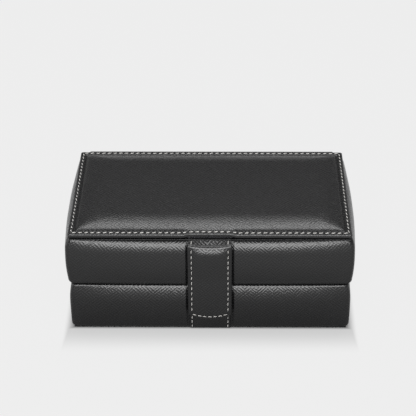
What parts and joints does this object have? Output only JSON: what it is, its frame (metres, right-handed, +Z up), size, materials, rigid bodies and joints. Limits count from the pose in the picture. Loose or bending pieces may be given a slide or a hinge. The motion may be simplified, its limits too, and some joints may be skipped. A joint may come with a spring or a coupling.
{
  "type": "watch box with drawer",
  "caption": "Padded black leather watch box with a hinged lid, a closing strap over the front, pillowed watch slots in the upper tier and a jewellery drawer below.",
  "frame": {"origin": "centre of the carcass footprint on the underside of the base sheet", "axes": "+X to the right as seen from the front, +Y from the front to the back, +Z up"},
  "size_m": [0.2664, 0.1609, 0.1068],
  "materials": {
    "black_leather": "black leather embossed with a fine cross-hatch grain, semi-gloss",
    "suede_lining": "charcoal suede cloth",
    "velvet_pillow": "grey velvet",
    "case_board": "fibreboard",
    "base_felt": "black felt sheet",
    "foam": "soft foam",
    "stiffener_card": "pressed card",
    "nylon_glide": "nylon tape",
    "steel": "plated steel"
  },
  "bodies": {
    "case": {"base_sheet": "base_felt", "base_board": "case_board", "side_wall_left": "case_board", "side_wall_right": "case_board", "back_wall": "case_board", "shelf": "case_board", "upper_front_board": "case_board", "upper_front_pad": "black_leather", "upper_back_pad": "black_leather", "lower_back_pad": "black_leather", "upper_left_pad": "black_leather", "upper_right_pad": "black_leather", "lower_left_pad": "black_leather", "lower_right_pad": "black_leather", "rim_trim": "black_leather", "front_rim_trim": "black_leather", "well_lining": "suede_lining", "well_floor": "suede_lining", "long_divider": "suede_lining", "slot_divider_1": "suede_lining", "slot_divider_2": "suede_lining", "slot_divider_3": "suede_lining", "front_divider_1": "suede_lining", "front_divider_2": "suede_lining", "front_divider_3": "suede_lining", "watch_pillow_1": "velvet_pillow", "watch_pillow_2": "velvet_pillow", "watch_pillow_3": "velvet_pillow", "watch_pillow_4": "velvet_pillow", "drawer_glide_left": "nylon_glide", "drawer_glide_right": "nylon_glide", "hinge_leaf_case": "black_leather"},
    "lid": {"lid_cover": "black_leather", "lid_foam": "foam", "lid_board": "case_board", "lid_lining": "suede_lining", "lid_inner_pad": "suede_lining", "strap_anchor": "black_leather", "hinge_leaf_lid": "black_leather"},
    "strap_flap": {"flap_leather": "black_leather", "flap_lining": "black_leather", "flap_stiffener": "stiffener_card", "flap_magnet": "steel"},
    "drawer": {"drawer_side_left": "case_board", "drawer_side_right": "case_board", "drawer_back": "case_board", "drawer_bottom": "case_board", "drawer_lining": "suede_lining", "drawer_long_divider": "suede_lining", "drawer_divider_1": "suede_lining", "drawer_divider_2": "suede_lining", "drawer_front_board": "case_board", "drawer_front_pad": "black_leather", "catch_tab": "black_leather", "catch_plate": "steel"}
  },
  "joints": [
    {"name": "lid_hinge", "type": "hinge", "parent": "case", "child": "lid", "pos_m": [0, 0.0746, 0.0992], "axis": [-1, 0, 0], "range_deg": [0, 105]},
    {"name": "flap_fold", "type": "hinge", "parent": "lid", "child": "strap_flap", "pos_m": [0, -0.0816, 0.095], "axis": [-1, 0, 0], "range_deg": [0, 103.2]},
    {"name": "drawer_slide", "type": "slide", "parent": "case", "child": "drawer", "axis": [0, -1, 0], "range_m": [0, 0.09]}
  ],
  "couplings": [
    {"joint": "flap_fold", "follows": "drawer_slide", "rad_per_m": 20}
  ]
}
